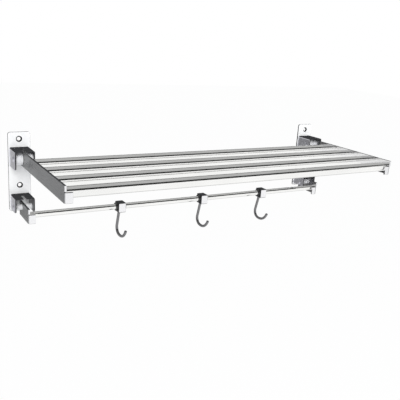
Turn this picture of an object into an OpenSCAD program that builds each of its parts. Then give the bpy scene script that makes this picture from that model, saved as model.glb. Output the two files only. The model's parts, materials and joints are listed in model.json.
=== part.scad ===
// Folding towel rack for a wall: a shelf of four tubes that folds up, and below it a towel rail
// with three hooks that slide and swing. The rail folds up too.
// Axes: +X along the rack to the right, +Y into the wall, +Z up.
// Origin: the middle of the four wall-screw holes, on the wall face behind the plates.

/* [Rack] */
// Distance between the middle planes of the left and right arms
rack_w = 608; // [500:1:900]
// Depth of the shelf, from the wall to the front of its arms
shelf_depth = 245; // [220:1:320]
// Depth of the towel rail's arms, from the wall to their front
rail_depth = 60; // [58:1:75]

/* [Wall plates] */
// Thickness of each wall plate
plate_t = 2.5; // [2:0.5:4]
// Plate that stands out past the brackets on each side
plate_margin = 2; // [1:0.5:8]
// Radius of the plate's corners
plate_r = 4; // [1:0.5:8]
// Distance between a plate's two screw holes
hole_gap = 78; // [74:1:110]
// Plate above the upper screw hole
hole_top = 11.5; // [9:0.5:20]
// Plate below the lower screw hole
hole_bottom = 44.5; // [42:0.5:60]
// Diameter of a screw hole
hole_d = 6; // [4:0.5:7]
// Diameter of a screw hole's countersink at the front
countersink_d = 10; // [8.5:0.5:12]

/* [Brackets] */
// Outer width of a bracket
bracket_w = 32; // [28:1:44]
// Thickness of the bracket sheet
bracket_t = 2; // [1.5:0.5:3]
// Outer radius of the bracket's bends
bracket_bend = 3; // [3:0.5:5]
// Radius of the cheeks' lower front corners
cheek_r = 5; // [1:0.5:7]
// Distance from the wall to the front of a shelf bracket
shelf_bracket_depth = 40; // [38:1:50]
// Distance from the wall to the front of a rail bracket
rail_bracket_depth = 35; // [34:1:38]
// Top of a rail bracket above the plate's lower edge
rail_bracket_up = 30; // [29:0.5:34]
// Cheek below the middle of a rail pin
rail_cheek_drop = 6.5; // [6:0.5:11]
// Cheek below the middle of a shelf pin
shelf_cheek_drop = 16; // [12:0.5:20]
// Drop from the upper screw hole to the top edge of the shelf arms
shelf_drop = 15.5; // [14:0.5:20]

/* [Pins] */
// Diameter of the hinge pins
pin_d = 6; // [4:0.5:7]
// Diameter of a pin's heads
pin_head_d = 10; // [8:0.5:12]
// Thickness of a pin's head
pin_head_t = 1.6; // [1:0.1:2]
// Distance from a shelf bracket's front edge back to its pin
shelf_pin_back = 14; // [12:0.5:16]
// Distance from a rail bracket's front edge back to its pin
rail_pin_back = 15; // [14:0.5:16]
// Height of the rail pins above the middle of the towel rail
rail_pin_up = 5.5; // [4:0.5:7]
// Outer diameter of the nylon spacers on the shelf pins
shelf_spacer_d = 19; // [14:0.5:20]
// Outer diameter of the nylon spacers on the rail pins
rail_spacer_d = 10; // [9:0.5:16]

/* [Arms] */
// Height of the flat strip that the arms are cut from
strip_h = 25; // [23:0.5:28]
// Thickness of the flat strip
strip_t = 3; // [2:0.5:4]
// Height of the tab bent inward at the front of each arm
tab_h = 15; // [8:0.5:18]
// Length of the tab, from the arm's outer face
tab_w = 12; // [8:0.5:20]
// Inner radius of the tab's bend
tab_bend = 1; // [0.5:0.5:3]
// Height of the relief cut above the tab
tab_relief = 1.2; // [0.6:0.2:3]

/* [Shelf tubes] */
// Outer diameter of the shelf tubes
tube_d = 16; // [12:0.5:18]
// Wall of the shelf tubes
tube_wall = 1; // [0.8:0.1:2]
// Gap from the shelf brackets' front edge to the first tube
tube_first_gap = 20; // [14:1:40]
// Gap between the last tube and the tabs
tube_tab_gap = 1; // [0.5:0.5:6]
// Depth of the plugs in the tube ends
plug_len = 8; // [4:1:20]
// Diameter of the plugs' riveted spigots
spigot_d = 6; // [4:0.5:7]

/* [Towel rail] */
// Outer diameter of the towel rail
rail_d = 10; // [9:0.5:12]
// Wall of the towel rail
rail_wall = 1; // [0.8:0.1:1.2]
// Gap between the towel rail and the tabs
rail_tab_gap = 2; // [1:0.5:3]
// Height of the middle of the towel rail above the plates' lower edge
rail_up = 6; // [4:0.5:8]

/* [Hooks] */
// Place of the first hook along the rack, from the middle
hook_1_x = -142; // [-180:1:-120]
// Place of the second hook along the rack, from the middle
hook_2_x = 26; // [-20:1:40]
// Place of the third hook along the rack, from the middle
hook_3_x = 165; // [150:1:190]
// Width of a hook's block, along the rail
block_w = 13; // [8:0.5:20]
// Depth of a hook's block, from front to back
block_d = 18; // [17:0.5:22]
// Block above the middle of the rail
block_top = 8; // [8:0.5:12]
// Block below the middle of the rail
block_bottom = 9.5; // [9:0.5:12]
// Radius of the block's edges
block_r = 1.5; // [0.5:0.5:3]
// Diameter of the hook wire
wire_d = 5; // [3:0.5:5.5]
// How far behind the rail's middle the shank leaves the block
shank_back = 5.5; // [3:0.5:5.5]
// Lean of the shank from upright
hook_lean = 15; // [8:1:20]
// Length of the straight shank below the block
shank_len = 30.5; // [26:0.5:34]
// Radius of the hook's heel, at the middle of the wire
heel_r = 12; // [10:0.5:14]
// Radius of the hook's front, at the middle of the wire
front_r = 26; // [20:0.5:28]
// Turn of the hook's front up to its tip
front_turn = 83; // [60:1:88]
// Depth of the wire in the block
wire_grip = 3; // [2:0.5:3]
// Wall of the nylon bush between the rail and the block
bush_wall = 1.2; // [1:0.1:1.2]
// Thickness of the bush's collar
collar_t = 3; // [1:0.5:5]
// How far the bush's collar stands out past its sleeve
collar_out = 1; // [0.4:0.2:2]
// Thickness of the bush's snap lip
lip_t = 1.2; // [0.6:0.2:3]
// How far the bush's snap lip stands out past its sleeve
lip_out = 0.5; // [0.2:0.1:1]

/* [Clearances] */
// Radial clearance of a shaft that turns or slides in its hole
run_gap = 0.05; // [0.02:0.01:0.09]
// Radial clearance of a plug, spigot or wire end in its seat
seat_gap = 0.02; // [0.01:0.01:0.05]
// Clearance between flat faces that turn past each other
side_gap = 0.3; // [0.3:0.05:0.6]
// Clearance between an arm's heel and the wall plate that stops it
heel_gap = 0.3; // [0.3:0.05:0.6]
// Clearance between a shelf arm's top edge and its bracket
hood_gap = 0.3; // [0.3:0.05:0.8]
// Clearance round an arm in the bracket's slot when it is folded up
slot_gap = 1; // [0.6:0.1:1.5]

/* [Hidden] */
$fn = 64;
eps = 1;
tube_count = 4;

plate_w = bracket_w + 2 * plate_margin;
plate_top_z = hole_gap / 2 + hole_top;
plate_bottom_z = -hole_gap / 2 - hole_bottom;

shelf_top_z = hole_gap / 2 - shelf_drop;
shelf_z = shelf_top_z - strip_h / 2;
shelf_pin_y = shelf_bracket_depth - shelf_pin_back;
shelf_bracket_top_z = shelf_top_z + hood_gap + bracket_t;
shelf_bracket_h = shelf_bracket_top_z - shelf_z + shelf_cheek_drop;

rail_z = plate_bottom_z + rail_up;
rail_y = rail_depth - strip_t - rail_tab_gap - rail_d / 2;
rail_pin_y = rail_bracket_depth - rail_pin_back;
rail_pin_z = rail_z + rail_pin_up;
rail_bracket_top_z = plate_bottom_z + rail_bracket_up;
rail_bracket_h = rail_bracket_top_z - rail_pin_z + rail_cheek_drop;

tube_first_y = shelf_bracket_depth + tube_first_gap + tube_d / 2;
tube_last_y = shelf_depth - strip_t - tube_tab_gap - tube_d / 2;
tube_pitch = (tube_last_y - tube_first_y) / (tube_count - 1);
tube_len = rack_w - strip_t;
function tube_y(i) = tube_first_y + (i - 1) * tube_pitch;

bend_r = strip_t + tab_bend;
spacer_len = bracket_w / 2 - bracket_t - strip_t / 2 - side_gap;
slot_w = strip_t + 2 * slot_gap;

bush_r = rail_d / 2 + run_gap + bush_wall;
hook_x = [hook_1_x, hook_2_x, hook_3_x];

steel = [0.78, 0.79, 0.80];
bright_steel = [0.88, 0.89, 0.90];
white_nylon = [0.93, 0.93, 0.92];
black_nylon = [0.05, 0.05, 0.05];

// A flat shape drawn as (depth, height), extruded along X about x = 0.
module along_x(len) {
    rotate([90, 0, 90]) linear_extrude(len, center = true) children();
}

// The frame of one side: x = 0 in the arm's middle plane, +X towards the middle of the rack.
module on_side(side) {
    translate([side * rack_w / 2, 0, 0])
        if (side > 0) mirror([1, 0, 0]) children();
        else children();
}

// The frame of one hook: its origin on the rail's axis.
module on_rail(i) {
    translate([hook_x[i - 1], -rail_y, rail_z]) children();
}

module rounded_rect(w, h, r) {
    square([w - 2 * r, h], center = true);
    square([w, h - 2 * r], center = true);
    for (x = [-1, 1], y = [-1, 1])
        translate([x * (w / 2 - r), y * (h / 2 - r)]) circle(r);
}

module wall_plate(side) {
    plate_h = plate_top_z - plate_bottom_z;
    countersink_h = (countersink_d - hole_d) / 2;
    color(bright_steel) on_side(side) difference() {
        translate([0, 0, (plate_top_z + plate_bottom_z) / 2]) rotate([90, 0, 0])
            linear_extrude(plate_t) rounded_rect(plate_w, plate_h, plate_r);
        for (z = [-1, 1]) translate([0, 0, z * hole_gap / 2]) rotate([90, 0, 0]) {
            translate([0, 0, -eps]) cylinder(h = plate_t + 2 * eps, d = hole_d);
            translate([0, 0, plate_t - min(countersink_h, plate_t - 0.4)])
                cylinder(h = countersink_h + 0.01, d1 = hole_d, d2 = countersink_d + 0.02);
        }
    }
}

// The bent sheet seen from the front: a top web and two cheeks, top at zero.
module hood_profile(h) {
    inner_w = bracket_w - 2 * bracket_t;
    inner_r = bracket_bend - bracket_t;
    difference() {
        hood_fill(bracket_w, h, bracket_bend);
        translate([0, -bracket_t]) hood_fill(inner_w, h + eps, inner_r);
    }
}

module hood_fill(w, h, r) {
    translate([-w / 2, -h]) square([w, h - r]);
    translate([-w / 2 + r, -h]) square([w - 2 * r, h]);
    for (x = [-1, 1]) translate([x * (w / 2 - r), -r]) circle(r);
}

// A hood with its top at zero. Its slot lets the arm swing up through the web.
module bracket(depth, h, pin_y, pin_drop, slot_end) {
    difference() {
        translate([0, -plate_t, 0]) rotate([90, 0, 0])
            linear_extrude(depth - plate_t) hood_profile(h);
        translate([0, -pin_y, -pin_drop]) rotate([0, 90, 0])
            cylinder(h = bracket_w + 2 * eps, d = pin_d, center = true);
        translate([-slot_w / 2, -depth - eps, -bracket_t - eps])
            cube([slot_w, depth - slot_end + eps, bracket_t + 2 * eps]);
        translate([0, -depth, -h]) along_x(bracket_w + 2 * eps) difference() {
            translate([-eps, -eps]) square(cheek_r + eps);
            translate([cheek_r, cheek_r]) circle(cheek_r);
        }
    }
}

module shelf_bracket(side) {
    color(steel) on_side(side) translate([0, 0, shelf_bracket_top_z])
        bracket(shelf_bracket_depth, shelf_bracket_h, shelf_pin_y, shelf_bracket_top_z - shelf_z,
            shelf_pin_y - strip_h / 2 - slot_gap);
}

module rail_bracket(side) {
    arm_above_pin = strip_h / 2 - rail_pin_up;
    color(steel) on_side(side) translate([0, 0, rail_bracket_top_z])
        bracket(rail_bracket_depth, rail_bracket_h, rail_pin_y, rail_bracket_top_z - rail_pin_z,
            rail_pin_y - arm_above_pin - slot_gap);
}

module pin() {
    rotate([0, 90, 0]) {
        cylinder(h = bracket_w + eps, d = pin_d, center = true);
        for (end = [0, 1]) mirror([0, 0, end]) translate([0, 0, bracket_w / 2]) {
            cylinder(h = pin_head_t / 2, d = pin_head_d);
            translate([0, 0, pin_head_t / 2])
                cylinder(h = pin_head_t / 2, d1 = pin_head_d, d2 = pin_head_d - pin_head_t);
        }
    }
}

module spacers(d) {
    for (end = [0, 1]) mirror([end, 0, 0])
        translate([strip_t / 2 + side_gap, 0, 0]) rotate([0, 90, 0]) difference() {
            cylinder(h = spacer_len, d = d);
            translate([0, 0, -eps]) cylinder(h = spacer_len + 2 * eps, d = pin_d + 2 * seat_gap);
        }
}

module shelf_pin(side) {
    color(steel) on_side(side) translate([0, -shelf_pin_y, shelf_z]) pin();
}

module rail_pin(side) {
    color(steel) on_side(side) translate([0, -rail_pin_y, rail_pin_z]) pin();
}

module shelf_spacers(side) {
    color(white_nylon) on_side(side) translate([0, -shelf_pin_y, shelf_z]) spacers(shelf_spacer_d);
}

module rail_spacers(side) {
    color(white_nylon) on_side(side) translate([0, -rail_pin_y, rail_pin_z]) spacers(rail_spacer_d);
}

// Side view of an arm about mid-height zero: square heel below the pin, round tail above it.
module arm_outline(depth, pin_y, pin_up, seats) {
    heel = pin_y - plate_t - heel_gap;
    difference() {
        union() {
            translate([-depth, -strip_h / 2]) square([depth - pin_y + eps, strip_h]);
            translate([-pin_y, -strip_h / 2]) square([heel, strip_h / 2 + pin_up]);
            intersection() {
                translate([-pin_y, pin_up]) circle(heel);
                translate([-pin_y, -strip_h / 2]) square([heel, strip_h]);
            }
        }
        translate([-depth - eps, -strip_h / 2 - eps])
            square([bend_r + eps, tab_h + tab_relief + eps]);
        translate([-pin_y, pin_up]) circle(d = pin_d + 2 * run_gap);
        for (y = seats) translate([-y, 0]) circle(d = spigot_d + 2 * seat_gap);
    }
}

// Plan of the tab: the strip's end turns a quarter bend inward, its front face at y = 0.
module tab_plan() {
    translate([-strip_t / 2, bend_r]) square([strip_t, eps]);
    translate([-strip_t / 2 + bend_r, bend_r]) intersection() {
        difference() {
            circle(bend_r);
            circle(tab_bend);
        }
        translate([-bend_r, -bend_r]) square(bend_r);
    }
    translate([-strip_t / 2 + bend_r, 0]) square([tab_w - bend_r, strip_t]);
}

module arm(depth, pin_y, pin_up, seats) {
    along_x(strip_t) arm_outline(depth, pin_y, pin_up, seats);
    translate([0, -depth, -strip_h / 2]) linear_extrude(tab_h) tab_plan();
}

module shelf_arm(side) {
    color(steel) on_side(side) translate([0, 0, shelf_z])
        arm(shelf_depth, shelf_pin_y, 0, [for (i = [1:tube_count]) tube_y(i)]);
}

module rail_arm(side) {
    color(steel) on_side(side) translate([0, 0, rail_z])
        arm(rail_depth, rail_pin_y, rail_pin_up, [rail_y]);
}

module tube(len, d, wall) {
    rotate([0, 90, 0]) difference() {
        cylinder(h = len, d = d, center = true);
        cylinder(h = len + 2 * eps, d = d - 2 * wall, center = true);
    }
}

module shelf_tube(i) {
    color(bright_steel) translate([0, -tube_y(i), shelf_z]) tube(tube_len, tube_d, tube_wall);
}

module towel_rail() {
    color(bright_steel) translate([0, -rail_y, rail_z]) tube(tube_len, rail_d, rail_wall);
}

// A plug in a tube's end, with a spigot that is riveted flush in the arm.
module plug(bore) {
    translate([-strip_t / 2, 0, 0]) rotate([0, 90, 0]) {
        cylinder(h = strip_t + eps, d = spigot_d);
        translate([0, 0, strip_t]) cylinder(h = plug_len, d = bore - 2 * seat_gap);
    }
}

module shelf_tube_plugs() {
    color(steel) for (side = [-1, 1], i = [1:tube_count])
        on_side(side) translate([0, -tube_y(i), shelf_z]) plug(tube_d - 2 * tube_wall);
}

module towel_rail_plugs() {
    color(steel) for (side = [-1, 1])
        on_side(side) translate([0, -rail_y, rail_z]) plug(rail_d - 2 * rail_wall);
}

// The plane of a hook's wire from where it leaves the block: the shank runs down along -Y.
module from_block() {
    rotate([90, 0, 90]) translate([shank_back, -block_bottom, 0])
        rotate([0, 0, hook_lean]) children();
}

module shank(d) {
    translate([0, -shank_len, 0]) rotate([-90, 0, 0])
        cylinder(h = shank_len + wire_grip, d = d);
}

module hook_block(i) {
    color(bright_steel) on_rail(i) difference() {
        translate([0, 0, (block_top - block_bottom) / 2])
            along_x(block_w) rounded_rect(block_d, block_top + block_bottom, block_r);
        rotate([0, 90, 0])
            cylinder(h = block_w + 2 * eps, r = bush_r + run_gap, center = true);
        from_block() shank(wire_d + 2 * seat_gap);
    }
}

module hook_wire(i) {
    color(steel) on_rail(i) from_block() {
        shank(wire_d);
        translate([-heel_r, -shank_len, 0]) mirror([0, 1, 0])
            rotate_extrude(angle = 90) translate([heel_r, 0]) circle(d = wire_d);
        translate([-heel_r, -shank_len - heel_r + front_r, 0]) rotate([0, 0, -90])
            mirror([0, 1, 0]) rotate_extrude(angle = front_turn)
                translate([front_r, 0]) circle(d = wire_d);
    }
}

module hook_bush(i) {
    sleeve_w = block_w + 2 * side_gap;
    color(black_nylon) on_rail(i) rotate([0, 90, 0]) difference() {
        union() {
            cylinder(h = sleeve_w + eps, r = bush_r, center = true);
            translate([0, 0, -sleeve_w / 2 - collar_t]) cylinder(h = collar_t, r = bush_r + collar_out);
            translate([0, 0, sleeve_w / 2]) cylinder(h = lip_t, r = bush_r + lip_out);
        }
        cylinder(h = sleeve_w + 2 * (collar_t + lip_t + eps), r = rail_d / 2 + run_gap, center = true);
    }
}

wall_plate(-1);  // left_wall_plate
wall_plate(1);  // right_wall_plate
shelf_bracket(-1);  // left_shelf_bracket
shelf_bracket(1);  // right_shelf_bracket
rail_bracket(-1);  // left_rail_bracket
rail_bracket(1);  // right_rail_bracket
shelf_pin(-1);  // left_shelf_pin
shelf_pin(1);  // right_shelf_pin
rail_pin(-1);  // left_rail_pin
rail_pin(1);  // right_rail_pin
shelf_spacers(-1);  // left_shelf_spacers
shelf_spacers(1);  // right_shelf_spacers
rail_spacers(-1);  // left_rail_spacers
rail_spacers(1);  // right_rail_spacers
shelf_arm(-1);  // left_shelf_arm
shelf_arm(1);  // right_shelf_arm
for (i = [1:tube_count]) shelf_tube(i);
shelf_tube_plugs();
rail_arm(-1);  // left_rail_arm
rail_arm(1);  // right_rail_arm
towel_rail();
towel_rail_plugs();
for (i = [1:3]) hook_block(i);
for (i = [1:3]) hook_wire(i);
for (i = [1:3]) hook_bush(i);
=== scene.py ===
"""Looks of the folding towel rack: satin and polished stainless steel, nylon, a studio stage."""

import json
import math

import bmesh
import bpy
from mathutils import Matrix, Vector

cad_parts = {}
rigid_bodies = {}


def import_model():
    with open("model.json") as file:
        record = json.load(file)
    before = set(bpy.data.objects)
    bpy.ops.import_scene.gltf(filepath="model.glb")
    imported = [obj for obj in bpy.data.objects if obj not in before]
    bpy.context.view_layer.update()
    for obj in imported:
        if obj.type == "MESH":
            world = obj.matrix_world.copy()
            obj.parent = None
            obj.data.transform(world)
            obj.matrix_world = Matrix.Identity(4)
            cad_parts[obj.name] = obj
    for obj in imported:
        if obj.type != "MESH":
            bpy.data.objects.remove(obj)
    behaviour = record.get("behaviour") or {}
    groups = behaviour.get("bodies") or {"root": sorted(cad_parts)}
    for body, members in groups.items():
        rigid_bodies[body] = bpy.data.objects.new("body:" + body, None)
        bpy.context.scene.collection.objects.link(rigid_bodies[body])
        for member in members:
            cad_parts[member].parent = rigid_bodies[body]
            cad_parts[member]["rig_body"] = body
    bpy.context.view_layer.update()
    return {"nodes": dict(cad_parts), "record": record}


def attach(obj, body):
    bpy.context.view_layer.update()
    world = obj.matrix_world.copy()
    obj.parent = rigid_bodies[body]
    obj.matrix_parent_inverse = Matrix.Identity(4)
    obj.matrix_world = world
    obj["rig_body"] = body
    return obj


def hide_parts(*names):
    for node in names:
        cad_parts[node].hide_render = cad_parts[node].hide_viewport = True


bl_info = {
    "name": "Folding towel rack",
    "version": (1, 0, 0),
    "blender": (4, 5, 0),
    "location": "3D View > Sidebar > Towel rack",
    "description": "Finishes the folding towel rack and sets it above a plain pale floor",
    "category": "Object",
}

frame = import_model()

# The rack's pieces. Each hinge has a bracket, a pin, its spacers and an arm.
SIDES = ("left", "right")
HINGES = tuple(f"{side}_{part}" for side in SIDES for part in ("shelf", "rail"))
TUBES = (1, 2, 3, 4)
HOOKS = (1, 2, 3)

# How far the wall screws' holes lie out and up from their middle, and their countersinks' reach.
HOLES = frame["record"]["mounts"][0]["dims"]
MM_PER_M = 1000
HOLE_OUT = HOLES["spacing_x_mm"] / 2 / MM_PER_M
HOLE_UP = HOLES["spacing_y_mm"] / 2 / MM_PER_M
SINK_R = 0.0052

# How a copy of a CAD mesh is cleaned and its edges are eased, in metres.
MERGE_DIST = 1e-6
SLIVER = 0.00002
FLAT_ANGLE = math.radians(0.5)
SHARP_ANGLE = math.radians(40)
EDGE_SEGMENTS = 2
WIRE_TIP_EDGE = 0.0008

# A face counts as facing an axis where its normal has more than this share on it.
SQUARELY = 0.95
MOSTLY = 0.7
HALF = 0.5
PARTLY = 0.35
SLIGHTLY = 0.3

# Roughness, from mirror bright to dull.
MIRROR = 0.13
BRIGHT = 0.15
BUFFED = 0.2
SATIN = 0.3
DULL = 0.35
COARSE = 0.4

# Metallic share, and gloss. Polished steel is fully metallic, with plain gloss.
PLATE_METAL = 0.1
BRUSHED_METAL = 0.2
# Painted shade: the near-black finishes have no metallic share, so they stay dark under any light.
PAINTED_SHADE_METAL = 0.0
PLAIN_GLOSS = 0.5
SOFT_GLOSS = 0.3
FAINT_GLOSS = 0.1
NO_GLOSS = 0.0

# Noise features in a metre along X, Y and Z. Rubbing lines run along the axis with the fewest.
PLATE_GRAIN = (40, 40, 900)
BRACKET_GRAIN = (60, 1400, 60)
ARM_GRAIN = (900, 25, 900)
TAB_GRAIN = (900, 900, 25)
TUBE_GRAIN = (30, 900, 900)
WIRE_GRAIN = (300, 300, 40)
PAINTED_SHADE_GRAIN = (900, 900, 900)
PLUG_GRAIN = (500, 500, 500)
EVEN_GRAIN = (300, 300, 300)
WIPE_CLOUDS = (14, 14, 14)
NYLON_PEBBLE = (900, 900, 900)
NYLON_CLOUDS = (60, 60, 60)

# The noises' own detail and roughness, and the span that most of their values take.
LINE_DETAIL = 3.0
CLOUD_DETAIL = 2.0
NOISE_ROUGHNESS = 0.55
NOISE_SPAN = (0.3, 0.7)

# Steel: how far its roughness spreads, how dark wiping makes it, and the relief of its lines.
STEEL_SPREAD = 0.06
BRUSHED_SPREAD = 0.1
WIPED_SHARE = 0.93
LINE_RELIEF = 0.004
LINE_DEPTH = 0.0005

# Nylon: how far its roughness spreads, how light it gets, and the relief of its pebble.
NYLON_SPREAD = 0.16
PALE_SHARE = 1.08
PALE_LIFT = 0.004
PEBBLE_RELIEF = 0.15
PEBBLE_DEPTH = 0.0001

# The stage. The world's light fades from the front of the rack to the wall.
WHITE = (1.0, 1.0, 1.0, 1.0)
WORLD_TINT = (0.96, 0.98, 1.0, 1.0)
FRONT_LIGHT = 1.0
BACK_LIGHT = 0.55
FLOOR_TINT = (0.93, 0.93, 0.93, 1.0)
FLOOR_ROUGHNESS = 0.9
FLOOR_SIZE = 12.0
FLOOR_GLOW = 0.95
SENSOR_WIDTH = 36.0
CLIP_START = 0.05

# Each lamp's name, place, size in metres and power in watts. All aim at the same place.
LAMP_AIM = (0, -0.1, 0)
LAMPS = (
    ("Key lamp", (-1.1, -1.7, 1.35), 0.9, 22.0),
    ("Fill lamp", (1.5, -1.5, 0.6), 1.2, 14.0),
)

# Each reflection card's name, its lowest and highest corner, and its glow from black to white.
CARDS = (
    ("Roof card", (-3, -0.8, 1.5), (4, 3.0, 1.5), 0.47),
    ("Roof edge", (-3, -2.6, 1.5), (4, -0.8, 1.5), 0.02),
    ("Back card", (-0.6, 2.5, 0.15), (4, 2.5, 1.5), 0.03),
    ("Left card", (-0.9, 0.35, -0.6), (-0.3, 0.35, 0.05), 0.48),
    ("Far left card", (-2.6, 2.0, -1.05), (-0.95, 2.0, 0.1), 0.1),
    ("Floor card", (-3, 0.0, -1.0), (4, 2.0, -1.0), 0.7),
    ("Right card", (2.5, -1.9, -1.05), (2.5, 2.0, 1.5), 0.4),
    ("Side card", (-3.0, -1.9, -1.05), (-3.0, 2.0, 1.5), 0.4),
    ("Low back card", (-4, 4.0, -1.05), (4, 4.0, -0.1), 0.4),
    ("Rail line", (-0.28, -0.085, -0.065), (0.28, -0.085, -0.03), 0.02),
)


# ---------------------------------------------------------------- finishes


def new_material(name):
    """A material of one Principled shader, with its node tree and that shader."""
    material = bpy.data.materials.new(name)
    material.use_nodes = True
    tree = material.node_tree
    tree.nodes.clear()
    output = tree.nodes.new("ShaderNodeOutputMaterial")
    shader = tree.nodes.new("ShaderNodeBsdfPrincipled")
    tree.links.new(shader.outputs["BSDF"], output.inputs["Surface"])
    return material, tree, shader


def object_noise(tree, stretch, detail):
    """A noise in object coordinates, with its number of features in a metre on each axis."""
    coords = tree.nodes.new("ShaderNodeTexCoord")
    mapping = tree.nodes.new("ShaderNodeMapping")
    mapping.inputs["Scale"].default_value = stretch
    noise = tree.nodes.new("ShaderNodeTexNoise")
    noise.inputs["Scale"].default_value = 1.0
    noise.inputs["Detail"].default_value = detail
    noise.inputs["Roughness"].default_value = NOISE_ROUGHNESS
    tree.links.new(coords.outputs["Object"], mapping.inputs["Vector"])
    tree.links.new(mapping.outputs["Vector"], noise.inputs["Vector"])
    return noise.outputs["Fac"]


def map_range(tree, source, low, high, span=NOISE_SPAN):
    """Turns the source's span of values into low to high."""
    start, end = span
    node = tree.nodes.new("ShaderNodeMapRange")
    node.inputs["From Min"].default_value = start
    node.inputs["From Max"].default_value = end
    node.inputs["To Min"].default_value = low
    node.inputs["To Max"].default_value = high
    tree.links.new(source, node.inputs["Value"])
    return node.outputs["Result"]


def clouded_colour(tree, shader, clouds, first, second):
    """Colours the shader from first to second, as the clouds go from low to high."""
    mix = tree.nodes.new("ShaderNodeMix")
    mix.data_type = "RGBA"
    mix.inputs["A"].default_value = (*first, 1.0)
    mix.inputs["B"].default_value = (*second, 1.0)
    tree.links.new(map_range(tree, clouds, 0.0, 1.0), mix.inputs["Factor"])
    tree.links.new(mix.outputs["Result"], shader.inputs["Base Color"])


def varied_roughness(tree, shader, source, roughness, spread):
    """Lets the roughness spread about its middle, as the source goes from low to high."""
    varied = map_range(tree, source, roughness - spread / 2, roughness + spread / 2)
    tree.links.new(varied, shader.inputs["Roughness"])


def fine_relief(tree, shader, source, strength, depth):
    """Raises the shader's surface as the source goes from low to high."""
    relief = tree.nodes.new("ShaderNodeBump")
    relief.inputs["Strength"].default_value = strength
    relief.inputs["Distance"].default_value = depth
    tree.links.new(source, relief.inputs["Height"])
    tree.links.new(relief.outputs["Normal"], shader.inputs["Normal"])


def steel(
    name, colour, roughness, grain, metallic=1.0, gloss=PLAIN_GLOSS, spread=STEEL_SPREAD
):
    """Stainless steel: fine rubbing lines along the grain, and broad faint clouds of wiping.

    A blasted or satin surface also scatters light, so it is given as less metallic. Finishes
    of painted shade have no metallic share and little gloss, so they stay dark in any light.
    """
    material, tree, shader = new_material(name)
    shader.inputs["Metallic"].default_value = metallic
    shader.inputs["Specular IOR Level"].default_value = gloss
    lines = object_noise(tree, grain, LINE_DETAIL)
    clouds = object_noise(tree, WIPE_CLOUDS, CLOUD_DETAIL)
    darker = tuple(c * WIPED_SHARE for c in colour)
    clouded_colour(tree, shader, clouds, darker, colour)
    varied_roughness(tree, shader, lines, roughness, spread)
    fine_relief(tree, shader, lines, LINE_RELIEF, LINE_DEPTH)
    return material


def nylon(name, colour, roughness):
    """Moulded nylon: a soft sheen and the faint pebble of its mould."""
    material, tree, shader = new_material(name)
    pebble = object_noise(tree, NYLON_PEBBLE, CLOUD_DETAIL)
    clouds = object_noise(tree, NYLON_CLOUDS, CLOUD_DETAIL)
    lighter = tuple(min(1.0, c * PALE_SHARE + PALE_LIFT) for c in colour)
    clouded_colour(tree, shader, clouds, colour, lighter)
    varied_roughness(tree, shader, pebble, roughness, NYLON_SPREAD)
    fine_relief(tree, shader, pebble, PEBBLE_RELIEF, PEBBLE_DEPTH)
    return material


def paint(node, material):
    """Gives a CAD node its finish."""
    slots = frame["nodes"][node].data.materials
    slots.clear()
    slots.append(material)


# ---------------------------------------------------------------- pieces


def put_in_order(elements, place):
    """Sorts a mesh's vertices or faces by place, as dissolving leaves their order to chance."""
    for index, element in enumerate(sorted(elements, key=place)):
        element.index = index
    elements.sort()


def softened(node, materials, edge, pick=None, clamped=True):
    """A copy of a CAD node with its edges eased, in place of the node.

    Where there are several materials, pick(centre, normal) gives the place of a face's own.
    A clamped bevel narrows where the node has lands thinner than the edge.
    """
    source = frame["nodes"][node]
    bm = bmesh.new()
    bm.from_mesh(source.data)
    bmesh.ops.remove_doubles(bm, verts=bm.verts, dist=MERGE_DIST)
    bmesh.ops.dissolve_limit(
        bm, angle_limit=FLAT_ANGLE, verts=bm.verts, edges=bm.edges, delimit=set()
    )
    sharp = [e for e in bm.edges if e.is_manifold and e.calc_face_angle(0.0) > SHARP_ANGLE]
    bmesh.ops.bevel(
        bm,
        geom=sharp,
        offset=edge,
        offset_type="OFFSET",
        segments=EDGE_SEGMENTS,
        profile=0.5,
        affect="EDGES",
        clamp_overlap=clamped,
        material=-1,
    )
    bmesh.ops.dissolve_degenerate(bm, dist=SLIVER, edges=bm.edges)
    put_in_order(bm.verts, lambda vert: vert.co[:])
    put_in_order(bm.faces, lambda face: face.calc_center_median()[:])
    for face in bm.faces:
        face.smooth = True
        if pick:
            face.material_index = pick(face.calc_center_median(), face.normal)
    mesh = bpy.data.meshes.new(node + "_finished")
    bm.to_mesh(mesh)
    bm.free()
    for material in materials:
        mesh.materials.append(material)
    piece = bpy.data.objects.new(node + "_finished", mesh)
    bpy.context.scene.collection.objects.link(piece)
    weighted = piece.modifiers.new("Even shading", "WEIGHTED_NORMAL")
    weighted.keep_sharp = True
    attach(piece, source["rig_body"])
    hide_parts(node)


# ---------------------------------------------------------------- settings


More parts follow.
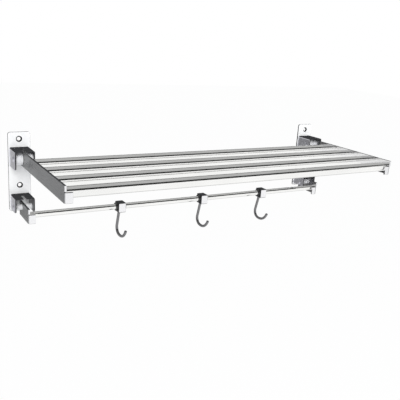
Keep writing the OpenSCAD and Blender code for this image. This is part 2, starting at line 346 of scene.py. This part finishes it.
class RackFinishSettings(bpy.types.PropertyGroup):
    plate_colour: bpy.props.FloatVectorProperty(
        name="Wall plates", description="Colour of the satin wall plates",
        subtype="COLOR", size=3, min=0, max=1, default=(0.98, 0.98, 0.98),
    )
    bracket_colour: bpy.props.FloatVectorProperty(
        name="Brackets", description="Colour of the satin hinge brackets and their pins",
        subtype="COLOR", size=3, min=0, max=1, default=(0.77, 0.77, 0.82),
    )
    # Painted shade: the arms' outer faces and the plugs take this dark grey in place of a dark
    # reflection, while the inner faces and tabs of the same steel take the bright colour.
    arm_shade_colour: bpy.props.FloatVectorProperty(
        name="Arms", description="Colour of the satin arms and of the plugs riveted into them",
        subtype="COLOR", size=3, min=0, max=1, default=(0.185, 0.185, 0.187),
    )
    tube_colour: bpy.props.FloatVectorProperty(
        name="Tubes", description="Colour of the polished tubes and the towel rail",
        subtype="COLOR", size=3, min=0, max=1, default=(0.96, 0.96, 0.945),
    )
    bright_colour: bpy.props.FloatVectorProperty(
        name="Bright faces", description="Colour of the arms' and the hook blocks' bright faces",
        subtype="COLOR", size=3, min=0, max=1, default=(0.95, 0.95, 0.965),
    )
    wire_colour: bpy.props.FloatVectorProperty(
        name="Hook wires", description="Colour of the drawn wire of the hooks",
        subtype="COLOR", size=3, min=0, max=1, default=(0.24, 0.24, 0.245),
    )
    # Painted shade: a near-black colour painted on the plates' edges and countersinks, the
    # brackets' tops and fronts, the arms' top and bottom faces and the hook blocks' sides,
    # standing in for shade and dark reflections.
    painted_shade_colour: bpy.props.FloatVectorProperty(
        name="Painted shade", description="Colour of cut edges, countersinks and shade-painted webs",
        subtype="COLOR", size=3, min=0, max=1, default=(0.045, 0.045, 0.048),
    )
    # Painted shade: a darker colour on the brackets' undersides and faces towards the arms, where
    # shade falls between the parts.
    inside_shade_colour: bpy.props.FloatVectorProperty(
        name="Insides", description="Colour of the shade-darkened insides of the brackets",
        subtype="COLOR", size=3, min=0, max=1, default=(0.18, 0.18, 0.19),
    )
    spacer_colour: bpy.props.FloatVectorProperty(
        name="Spacers", description="Colour of the nylon spacers on the hinge pins",
        subtype="COLOR", size=3, min=0, max=1, default=(0.93, 0.93, 0.96),
    )
    bush_colour: bpy.props.FloatVectorProperty(
        name="Bushes", description="Colour of the nylon bushes in the hooks",
        subtype="COLOR", size=3, min=0, max=1, default=(0.02, 0.02, 0.02),
    )
    eased_edge: bpy.props.FloatProperty(
        name="Eased edge", description="Width of the plates', brackets', arms' and blocks' edges",
        subtype="DISTANCE", unit="LENGTH", min=0.0001, max=0.001, default=0.0003,
    )


class RackStageSettings(bpy.types.PropertyGroup):
    floor_drop: bpy.props.FloatProperty(
        name="Floor", description="How far the floor lies below the middle of the wall screws",
        subtype="DISTANCE", unit="LENGTH", min=0.3, max=3.0, default=1.1,
    )
    camera_place: bpy.props.FloatVectorProperty(
        name="Camera", description="Place of the camera",
        subtype="TRANSLATION", unit="LENGTH", size=3, default=(-0.53164, -0.95166, 0.22729),
    )
    camera_turn: bpy.props.FloatProperty(
        name="Turn", description="Turn of the camera from straight at the wall to the right",
        subtype="ANGLE", unit="ROTATION", default=math.radians(31.526),
    )
    camera_tilt: bpy.props.FloatProperty(
        name="Tilt", description="Tilt of the camera above the horizon",
        subtype="ANGLE", unit="ROTATION", default=math.radians(-16.252),
    )
    camera_roll: bpy.props.FloatProperty(
        name="Roll", description="Roll of the camera about its own line of sight",
        subtype="ANGLE", unit="ROTATION", default=math.radians(4.016),
    )
    camera_lens: bpy.props.FloatProperty(
        name="Lens", description="Focal length in millimetres, on a sensor 36 mm wide",
        min=20.0, max=200.0, default=51.93,
    )


# ---------------------------------------------------------------- operators


class RACK_OT_wall_plates(bpy.types.Operator):
    """Finish the two satin wall plates"""

    bl_idname = "rack.wall_plates"
    bl_label = "Wall plates"

    def execute(self, context):
        finish = context.scene.rack_finish
        painted_shade = finish.painted_shade_colour
        finishes = (
            steel("plate_satin_steel", finish.plate_colour, SATIN, PLATE_GRAIN, PLATE_METAL),
            steel("plate_countersink_painted_shade", painted_shade, DULL, PAINTED_SHADE_GRAIN),
            steel("plate_rim_painted_shade", painted_shade, COARSE, PAINTED_SHADE_GRAIN, PAINTED_SHADE_METAL, FAINT_GLOSS),
        )
        flat, countersink, rim = range(len(finishes))

        # Painted shade: edges, bores and countersinks take the near-black colour; only faces
        # square to the wall keep the satin colour.
        def pick(centre, normal):
            if abs(normal.y) > SQUARELY:
                return flat
            across = abs(abs(centre.x) - HOLE_OUT)
            along = abs(abs(centre.z) - HOLE_UP)
            return countersink if max(across, along) < SINK_R else rim

        for side in SIDES:
            node = f"{side}_wall_plate"
            softened(node, finishes, finish.eased_edge, pick)
        return {"FINISHED"}


class RACK_OT_brackets(bpy.types.Operator):
    """Finish the four hinge brackets with their pins"""

    bl_idname = "rack.brackets"
    bl_label = "Brackets and pins"

    def execute(self, context):
        finish = context.scene.rack_finish
        painted_shade = finish.painted_shade_colour
        finishes = (
            steel("bracket_satin_steel", finish.bracket_colour, SATIN, BRACKET_GRAIN),
            steel("bracket_web_painted_shade", painted_shade, COARSE, BRACKET_GRAIN, PAINTED_SHADE_METAL, NO_GLOSS),
            steel("bracket_inside_painted_shade", finish.inside_shade_colour, DULL, BRACKET_GRAIN),
        )
        cheek, web, inside = range(len(finishes))

        # Painted shade: tops and front faces take the near-black colour, and undersides and faces
        # towards the arm the darker inside colour; the rest keeps the bracket colour.
        def pick(centre, normal):
            if normal.z > HALF or normal.y < -MOSTLY:
                return web
            faces_arm = normal.x * (abs(centre.x) - HOLE_OUT) * centre.x < 0
            if normal.z < -HALF or (faces_arm and abs(normal.x) > MOSTLY):
                return inside
            return cheek

        rivet = steel("pin_satin_steel", finish.bracket_colour, SATIN, EVEN_GRAIN)
        for hinge in HINGES:
            node = f"{hinge}_bracket"
            softened(node, finishes, finish.eased_edge, pick, clamped=False)
            paint(f"{hinge}_pin", rivet)
        return {"FINISHED"}


class RACK_OT_spacers(bpy.types.Operator):
    """Finish the nylon spacers on the hinge pins"""

    bl_idname = "rack.spacers"
    bl_label = "Spacers"

    def execute(self, context):
        material = nylon("spacer_white_nylon", context.scene.rack_finish.spacer_colour, COARSE)
        for hinge in HINGES:
            paint(f"{hinge}_spacers", material)
        return {"FINISHED"}


class RACK_OT_arms(bpy.types.Operator):
    """Finish the flat arms of the shelf and of the rail"""

    bl_idname = "rack.arms"
    bl_label = "Arms"

    def execute(self, context):
        finish = context.scene.rack_finish
        painted_shade, bright = finish.painted_shade_colour, finish.bright_colour
        finishes = (
            steel(
                "arm_outer_painted_shade", finish.arm_shade_colour, SATIN, ARM_GRAIN,
                BRUSHED_METAL, SOFT_GLOSS, BRUSHED_SPREAD,
            ),
            steel("arm_edge_painted_shade", painted_shade, COARSE, ARM_GRAIN, PAINTED_SHADE_METAL, FAINT_GLOSS),
            steel("tab_buffed_steel", bright, BUFFED, TAB_GRAIN),
            steel("arm_inner_steel", bright, MIRROR, ARM_GRAIN),
        )
        outer, shaded_edge, tab, inner = range(len(finishes))

        # Painted shade: top and bottom faces are near-black and outer faces the dark arm grey;
        # inner faces and tabs get the bright colour.
        def pick(centre, normal):
            if abs(normal.z) > SLIGHTLY:
                return shaded_edge
            if normal.y < -HALF:
                return tab
            return inner if normal.x * centre.x < 0 else outer

        for hinge in HINGES:
            node = f"{hinge}_arm"
            softened(node, finishes, finish.eased_edge, pick, clamped=False)
        return {"FINISHED"}


class RACK_OT_tubes(bpy.types.Operator):
    """Finish the shelf tubes and the towel rail with their plugs"""

    bl_idname = "rack.tubes"
    bl_label = "Tubes and rail"

    def execute(self, context):
        finish = context.scene.rack_finish
        polished = steel("tube_polished_steel", finish.tube_colour, MIRROR, TUBE_GRAIN)
        # Painted shade: the plugs take the arms' dark grey.
        riveted = steel(
            "plug_painted_shade", finish.arm_shade_colour, SATIN, PLUG_GRAIN, BRUSHED_METAL, SOFT_GLOSS
        )
        for i in TUBES:
            paint(f"shelf_tube_{i}", polished)
        paint("towel_rail", polished)
        paint("shelf_tube_plugs", riveted)
        paint("towel_rail_plugs", riveted)
        return {"FINISHED"}


class RACK_OT_hooks(bpy.types.Operator):
    """Finish the sliding hooks"""

    bl_idname = "rack.hooks"
    bl_label = "Hooks"

    def execute(self, context):
        finish = context.scene.rack_finish
        painted_shade = finish.painted_shade_colour
        block_finishes = (
            steel("hook_polished_steel", finish.bright_colour, BRIGHT, EVEN_GRAIN),
            steel("block_side_painted_shade", painted_shade, DULL, EVEN_GRAIN, PAINTED_SHADE_METAL, FAINT_GLOSS),
        )
        polished, shaded_side = range(len(block_finishes))
        drawn = steel("wire_drawn_steel", finish.wire_colour, BUFFED, WIRE_GRAIN)
        moulded = nylon("bush_black_nylon", finish.bush_colour, DULL)

        # Painted shade: sides, tops and bottoms take the near-black colour; front and back stay
        # bright.
        def pick(centre, normal):
            on_side = abs(normal.x) > PARTLY or abs(normal.z) > SLIGHTLY
            return shaded_side if on_side else polished

        for i in HOOKS:
            node = f"hook_block_{i}"
            softened(node, block_finishes, finish.eased_edge, pick)
            softened(f"hook_wire_{i}", (drawn,), WIRE_TIP_EDGE)
            paint(f"hook_bush_{i}", moulded)
        return {"FINISHED"}


# ---------------------------------------------------------------- stage


def glowing(name, level):
    """A card's finish: an even glow, from black at level 0 to white at 1."""
    material = bpy.data.materials.new(name)
    material.use_nodes = True
    tree = material.node_tree
    tree.nodes.clear()
    output = tree.nodes.new("ShaderNodeOutputMaterial")
    glow = tree.nodes.new("ShaderNodeEmission")
    glow.inputs["Color"].default_value = (level, level, level, 1.0)
    tree.links.new(glow.outputs["Emission"], output.inputs["Surface"])
    return material


def card_corners(low, high):
    """The four corners in turn of a card whose lowest and highest corner share one measure."""
    first, second = (axis for axis in range(3) if low[axis] != high[axis])
    corners = []
    for on_first, on_second in ((low, low), (high, low), (high, high), (low, high)):
        corner = list(low)
        corner[first] = on_first[first]
        corner[second] = on_second[second]
        corners.append(corner)
    return corners


def studio_card(name, low, high, level):
    """A card that only the metal's reflections see, as a studio flags a shiny thing."""
    bm = bmesh.new()
    bm.faces.new([bm.verts.new(corner) for corner in card_corners(low, high)])
    mesh = bpy.data.meshes.new(name)
    bm.to_mesh(mesh)
    bm.free()
    mesh.materials.append(glowing(name + "_card", level))
    card = bpy.data.objects.new(name, mesh)
    bpy.context.scene.collection.objects.link(card)
    card.visible_camera = False
    card.visible_diffuse = False
    card.visible_transmission = False
    card.visible_shadow = False


def seen_factor(tree):
    """One where a camera, mirror or clear-glass ray looks, and nothing where light is gathered."""
    path = tree.nodes.new("ShaderNodeLightPath")
    first = tree.nodes.new("ShaderNodeMath")
    first.operation = "MAXIMUM"
    second = tree.nodes.new("ShaderNodeMath")
    second.operation = "MAXIMUM"
    tree.links.new(path.outputs["Is Camera Ray"], first.inputs[0])
    tree.links.new(path.outputs["Is Glossy Ray"], first.inputs[1])
    tree.links.new(first.outputs[0], second.inputs[0])
    tree.links.new(path.outputs["Is Transmission Ray"], second.inputs[1])
    return second.outputs[0]


class RACK_OT_stage(bpy.types.Operator):
    """Set the floor, the lamps, the reflection cards and the camera"""

    bl_idname = "rack.stage"
    bl_label = "Stage"

    def execute(self, context):
        stage = context.scene.rack_stage
        self.make_world(context.scene)
        self.make_floor(stage)
        for card in CARDS:
            studio_card(*card)
        self.make_lamps()
        self.make_camera(context.scene, stage)
        context.scene.view_settings.view_transform = "Standard"
        return {"FINISHED"}

    def make_world(self, scene):
        world = bpy.data.worlds.new("Studio")
        world.use_nodes = True
        tree = world.node_tree
        tree.nodes.clear()
        output = tree.nodes.new("ShaderNodeOutputWorld")
        light = tree.nodes.new("ShaderNodeBackground")
        light.inputs["Color"].default_value = WORLD_TINT
        coords = tree.nodes.new("ShaderNodeTexCoord")
        parts = tree.nodes.new("ShaderNodeSeparateXYZ")
        tree.links.new(coords.outputs["Generated"], parts.inputs["Vector"])
        fading = map_range(tree, parts.outputs["Y"], FRONT_LIGHT, BACK_LIGHT, (-1.0, 1.0))
        tree.links.new(fading, light.inputs["Strength"])
        backdrop = tree.nodes.new("ShaderNodeBackground")
        backdrop.inputs["Color"].default_value = WHITE
        backdrop.inputs["Strength"].default_value = 1.0
        mix = tree.nodes.new("ShaderNodeMixShader")
        tree.links.new(seen_factor(tree), mix.inputs["Fac"])
        tree.links.new(light.outputs["Background"], mix.inputs[1])
        tree.links.new(backdrop.outputs["Background"], mix.inputs[2])
        tree.links.new(mix.outputs["Shader"], output.inputs["Surface"])
        scene.world = world

    def make_floor(self, stage):
        bm = bmesh.new()
        bmesh.ops.create_grid(bm, x_segments=1, y_segments=1, size=FLOOR_SIZE)
        bmesh.ops.translate(bm, vec=(0, 0, -stage.floor_drop), verts=bm.verts)
        mesh = bpy.data.meshes.new("Floor")
        bm.to_mesh(mesh)
        bm.free()
        material, tree, shader = new_material("floor_pale")
        shader.inputs["Base Color"].default_value = FLOOR_TINT
        shader.inputs["Roughness"].default_value = FLOOR_ROUGHNESS
        glow = tree.nodes.new("ShaderNodeEmission")
        glow.inputs["Color"].default_value = WHITE
        share = tree.nodes.new("ShaderNodeMath")
        share.operation = "MULTIPLY"
        share.inputs[1].default_value = FLOOR_GLOW
        mix = tree.nodes.new("ShaderNodeMixShader")
        output = next(n for n in tree.nodes if n.type == "OUTPUT_MATERIAL")
        tree.links.new(seen_factor(tree), share.inputs[0])
        tree.links.new(share.outputs[0], mix.inputs["Fac"])
        tree.links.new(shader.outputs["BSDF"], mix.inputs[1])
        tree.links.new(glow.outputs["Emission"], mix.inputs[2])
        tree.links.new(mix.outputs["Shader"], output.inputs["Surface"])
        mesh.materials.append(material)
        floor = bpy.data.objects.new("Floor", mesh)
        bpy.context.scene.collection.objects.link(floor)

    def make_lamps(self):
        for name, place, size, power in LAMPS:
            lamp = bpy.data.lights.new(name, "AREA")
            lamp.shape = "SQUARE"
            lamp.size = size
            lamp.energy = power
            holder = bpy.data.objects.new(name, lamp)
            bpy.context.scene.collection.objects.link(holder)
            holder.location = place
            holder.visible_glossy = False
            aim = Vector(LAMP_AIM) - holder.location
            holder.rotation_euler = aim.to_track_quat("-Z", "Y").to_euler()

    def make_camera(self, scene, stage):
        turn, tilt, roll = stage.camera_turn, stage.camera_tilt, stage.camera_roll
        ahead = Vector(
            (math.sin(turn) * math.cos(tilt), math.cos(turn) * math.cos(tilt), math.sin(tilt))
        )
        level = Vector((math.cos(turn), -math.sin(turn), 0))
        upright = level.cross(ahead)
        right = math.cos(roll) * level + math.sin(roll) * upright
        up = math.cos(roll) * upright - math.sin(roll) * level
        camera = bpy.data.cameras.new("Camera")
        camera.lens = stage.camera_lens
        camera.sensor_width = SENSOR_WIDTH
        camera.clip_start = CLIP_START
        holder = bpy.data.objects.new("Camera", camera)
        scene.collection.objects.link(holder)
        axes = Matrix((right, up, -ahead)).transposed().to_4x4()
        holder.matrix_world = Matrix.Translation(stage.camera_place) @ axes
        scene.camera = holder


# ---------------------------------------------------------------- panel and registration


class RACK_PT_panel(bpy.types.Panel):
    """Lists the towel rack's steps and settings"""

    bl_idname = "RACK_PT_panel"
    bl_label = "Towel rack"
    bl_space_type = "VIEW_3D"
    bl_region_type = "UI"
    bl_category = "Towel rack"

    def draw(self, context):
        layout = self.layout
        for operator in OPERATORS:
            layout.operator(operator.bl_idname)
        for group in (context.scene.rack_finish, context.scene.rack_stage):
            for name in group.__annotations__:
                layout.prop(group, name)


OPERATORS = (
    RACK_OT_wall_plates,
    RACK_OT_brackets,
    RACK_OT_spacers,
    RACK_OT_arms,
    RACK_OT_tubes,
    RACK_OT_hooks,
    RACK_OT_stage,
)
CLASSES = (RackFinishSettings, RackStageSettings, *OPERATORS, RACK_PT_panel)


def register():
    for cls in CLASSES:
        bpy.utils.register_class(cls)
    bpy.types.Scene.rack_finish = bpy.props.PointerProperty(type=RackFinishSettings)
    bpy.types.Scene.rack_stage = bpy.props.PointerProperty(type=RackStageSettings)


def unregister():
    del bpy.types.Scene.rack_stage
    del bpy.types.Scene.rack_finish
    for cls in reversed(CLASSES):
        bpy.utils.unregister_class(cls)


def main():
    register()
    bpy.ops.rack.wall_plates()
    bpy.ops.rack.brackets()
    bpy.ops.rack.spacers()
    bpy.ops.rack.arms()
    bpy.ops.rack.tubes()
    bpy.ops.rack.hooks()
    bpy.ops.rack.stage()


if __name__ == "__main__":
    main()
